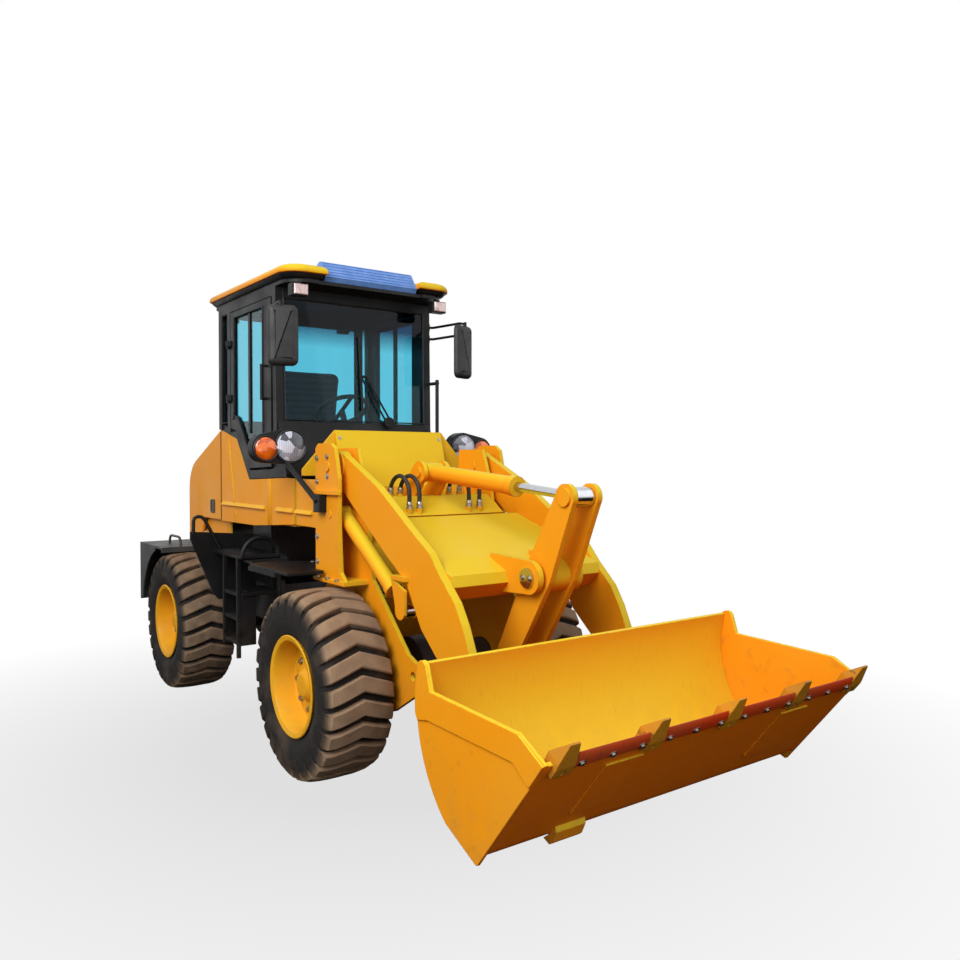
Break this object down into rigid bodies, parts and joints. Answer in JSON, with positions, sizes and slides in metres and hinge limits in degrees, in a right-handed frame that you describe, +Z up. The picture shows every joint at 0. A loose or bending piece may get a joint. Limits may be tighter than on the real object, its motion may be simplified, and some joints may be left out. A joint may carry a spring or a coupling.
{
  "type": "wheel loader",
  "caption": "Compact articulated wheel loader with enclosed cab, Z-bar linkage, toothed bucket, lifting arms, steered front half, rolling lugged wheels, opening doors and hood.",
  "frame": {"origin": "middle of the bounding box on the ground", "axes": "+X forward towards the bucket, +Y to the machine's left, +Z up"},
  "size_m": [5.4522, 1.982, 3.126],
  "materials": {
    "loader_paint": "gloss",
    "black_paint": "satin",
    "dark_paint": "satin",
    "black_plastic": "matt",
    "seat_cloth": "matt",
    "hose_rubber": "matt",
    "window_glass": "clear",
    "rod_chrome": "polished",
    "edge_red": "satin",
    "tooth_paint": "worn",
    "visor_blue": "gloss",
    "tyre_rubber": "matt"
  },
  "bodies": {
    "rear_frame": {"rear_frame": "dark_paint", "rear_axle": "dark_paint", "engine": "dark_paint", "counterweight": "dark_paint", "body_panels": "loader_paint", "rear_fenders": "dark_paint", "step_units": "black_paint", "cab_frame": "black_paint", "cab_roof": "loader_paint", "roof_visor": "visor_blue", "cab_glass": "window_glass", "seat_base": "black_plastic", "seat_pads": "seat_cloth", "console": "black_plastic", "wiper": "black_paint", "mirrors": "black_paint", "work_lamps": "black_paint", "drive_shaft": "rod_chrome"},
    "front_frame": {"front_frame": "loader_paint", "tower_plates": "loader_paint", "front_axle": "dark_paint", "front_cover": "loader_paint", "front_fenders": "black_paint", "headlamps": "black_paint", "hoses": "hose_rubber"},
    "lift_arms": {"lift_arms": "loader_paint"},
    "bucket_pins": {"bucket_pins": "rod_chrome"},
    "crank_pin": {"crank_pin": "rod_chrome"},
    "bell_crank": {"bell_crank": "loader_paint"},
    "link_pin": {"link_pin": "rod_chrome"},
    "tilt_link": {"tilt_link": "loader_paint"},
    "tilt_barrel": {"tilt_barrel": "loader_paint"},
    "tilt_rod": {"tilt_rod": "rod_chrome"},
    "lift_barrels": {"lift_barrels": "loader_paint"},
    "lift_rods": {"lift_rods": "rod_chrome"},
    "steer_barrel_left": {"steer_barrel_left": "black_paint"},
    "steer_barrel_right": {"steer_barrel_right": "black_paint"},
    "steer_rod_left": {"steer_rod_left": "rod_chrome"},
    "steer_rod_right": {"steer_rod_right": "rod_chrome"},
    "bucket": {"bucket": "loader_paint", "bucket_teeth": "tooth_paint", "cutting_edge": "edge_red"},
    "hood": {"hood": "loader_paint", "grille": "black_paint"},
    "door_left": {"door_left": "black_paint", "door_glass_left": "window_glass"},
    "wheel_front_left": {"tyre_front_left": "tyre_rubber", "rim_front_left": "loader_paint"},
    "wheel_rear_left": {"tyre_rear_left": "tyre_rubber", "rim_rear_left": "loader_paint"},
    "door_right": {"door_right": "black_paint", "door_glass_right": "window_glass"},
    "wheel_front_right": {"tyre_front_right": "tyre_rubber", "rim_front_right": "loader_paint"},
    "wheel_rear_right": {"tyre_rear_right": "tyre_rubber", "rim_rear_right": "loader_paint"}
  },
  "joints": [
    {"name": "steer", "type": "hinge", "parent": "rear_frame", "child": "front_frame", "pos_m": [-0.84356, 0, 0.71], "axis": [0, 0, 1], "range_deg": [-35, 35]},
    {"name": "lift", "type": "hinge", "parent": "front_frame", "child": "lift_arms", "pos_m": [0.26394, 0, 1.77], "axis": [0, -1, 0], "range_deg": [-2, 81]},
    {"name": "bucket_level", "type": "hinge", "parent": "lift_arms", "child": "bucket_pins", "pos_m": [1.99204, 0, 0.29323], "axis": [0, 1, 0], "range_deg": [-2.25, 81.25]},
    {"name": "tilt", "type": "hinge", "parent": "bucket_pins", "child": "bucket", "pos_m": [1.99204, 0, 0.29323], "axis": [0, 1, 0], "range_deg": [-4, 96]},
    {"name": "crank_level", "type": "hinge", "parent": "lift_arms", "child": "crank_pin", "pos_m": [1.55394, 0, 1.22], "axis": [0, -1, 0], "range_deg": [-0.57, 20.69]},
    {"name": "crank_swing", "type": "hinge", "parent": "crank_pin", "child": "bell_crank", "pos_m": [1.55394, 0, 1.22], "axis": [0, -1, 0], "range_deg": [-0.99, 22.22]},
    {"name": "link_level", "type": "hinge", "parent": "bell_crank", "child": "link_pin", "pos_m": [1.26394, 0, 0.7], "axis": [0, -1, 0], "range_deg": [-29.55, 0.82]},
    {"name": "link_swing", "type": "hinge", "parent": "link_pin", "child": "tilt_link", "pos_m": [1.26394, 0, 0.7], "axis": [0, -1, 0], "range_deg": [-33.16, 1.48]},
    {"name": "tilt_barrel_swing", "type": "hinge", "parent": "front_frame", "child": "tilt_barrel", "pos_m": [0.44894, 0, 1.735], "axis": [0, -1, 0], "range_deg": [-2.49, 90]},
    {"name": "tilt_rod_slide", "type": "slide", "parent": "tilt_barrel", "child": "tilt_rod", "axis": [0.9967, 0, -0.0817], "range_m": [-0.1553, 0.0069]},
    {"name": "lift_barrel_swing", "type": "hinge", "parent": "front_frame", "child": "lift_barrels", "pos_m": [0.29394, 0, 1.49], "axis": [0, -1, 0], "range_deg": [-2.24, 80.88]},
    {"name": "lift_rod_slide", "type": "slide", "parent": "lift_barrels", "child": "lift_rods", "axis": [0.8374, 0, -0.5466], "range_m": [-0.0102, 0.3669]},
    {"name": "steer_barrel_swing_left", "type": "hinge", "parent": "rear_frame", "child": "steer_barrel_left", "pos_m": [-1.13606, 0.215, 0.71], "axis": [0, 0, 1], "range_deg": [-18.44, 18.44]},
    {"name": "steer_rod_slide_left", "type": "slide", "parent": "steer_barrel_left", "child": "steer_rod_left", "axis": [0.9997, 0.025, 0], "range_m": [-0.1345, 0.1345]},
    {"name": "door_left_swing", "type": "hinge", "parent": "rear_frame", "child": "door_left", "pos_m": [-1.36106, 0.624, 2.4], "axis": [0, 0, 1], "range_deg": [0, 90]},
    {"name": "wheel_front_left_roll", "type": "hinge", "parent": "front_frame", "child": "wheel_front_left", "pos_m": [0.36394, 0.704, 0.535], "axis": [0, 1, 0], "continuous": true},
    {"name": "wheel_rear_left_roll", "type": "hinge", "parent": "rear_frame", "child": "wheel_rear_left", "pos_m": [-2.05106, 0.704, 0.535], "axis": [0, 1, 0], "continuous": true},
    {"name": "steer_barrel_swing_right", "type": "hinge", "parent": "rear_frame", "child": "steer_barrel_right", "pos_m": [-1.13606, -0.215, 0.71], "axis": [0, 0, 1], "range_deg": [-18.44, 18.44]},
    {"name": "steer_rod_slide_right", "type": "slide", "parent": "steer_barrel_right", "child": "steer_rod_right", "axis": [0.9997, -0.025, 0], "range_m": [-0.1345, 0.1345]},
    {"name": "door_right_swing", "type": "hinge", "parent": "rear_frame", "child": "door_right", "pos_m": [-1.36106, -0.624, 2.4], "axis": [0, 0, -1], "range_deg": [0, 90]},
    {"name": "wheel_front_right_roll", "type": "hinge", "parent": "front_frame", "child": "wheel_front_right", "pos_m": [0.36394, -0.704, 0.535], "axis": [0, 1, 0], "continuous": true},
    {"name": "wheel_rear_right_roll", "type": "hinge", "parent": "rear_frame", "child": "wheel_rear_right", "pos_m": [-2.05106, -0.704, 0.535], "axis": [0, 1, 0], "continuous": true},
    {"name": "hood_lift", "type": "hinge", "parent": "rear_frame", "child": "hood", "pos_m": [-1.63906, 0, 2.068], "axis": [0, 1, 0], "range_deg": [0, 55]}
  ],
  "couplings": [
    {"joint": "bucket_level", "follows": "lift", "ratio": 1},
    {"joint": "crank_level", "follows": "lift", "ratio": 0.2546},
    {"joint": "crank_swing", "follows": "tilt", "ratio": 0.2307},
    {"joint": "link_level", "follows": "lift", "ratio": -0.3637},
    {"joint": "link_swing", "follows": "tilt", "ratio": -0.3443},
    {"joint": "tilt_barrel_swing", "follows": "lift", "ratio": 1.1077},
    {"joint": "tilt_rod_slide", "follows": "tilt", "m_per_rad": -0.0924},
    {"joint": "lift_barrel_swing", "follows": "lift", "ratio": 0.9954},
    {"joint": "lift_rod_slide", "follows": "lift", "m_per_rad": 0.2587},
    {"joint": "steer_barrel_swing_left", "follows": "steer", "ratio": 0.5238},
    {"joint": "steer_rod_slide_left", "follows": "steer", "m_per_rad": -0.2188},
    {"joint": "steer_barrel_swing_right", "follows": "steer", "ratio": 0.5238},
    {"joint": "steer_rod_slide_right", "follows": "steer", "m_per_rad": 0.2188}
  ]
}
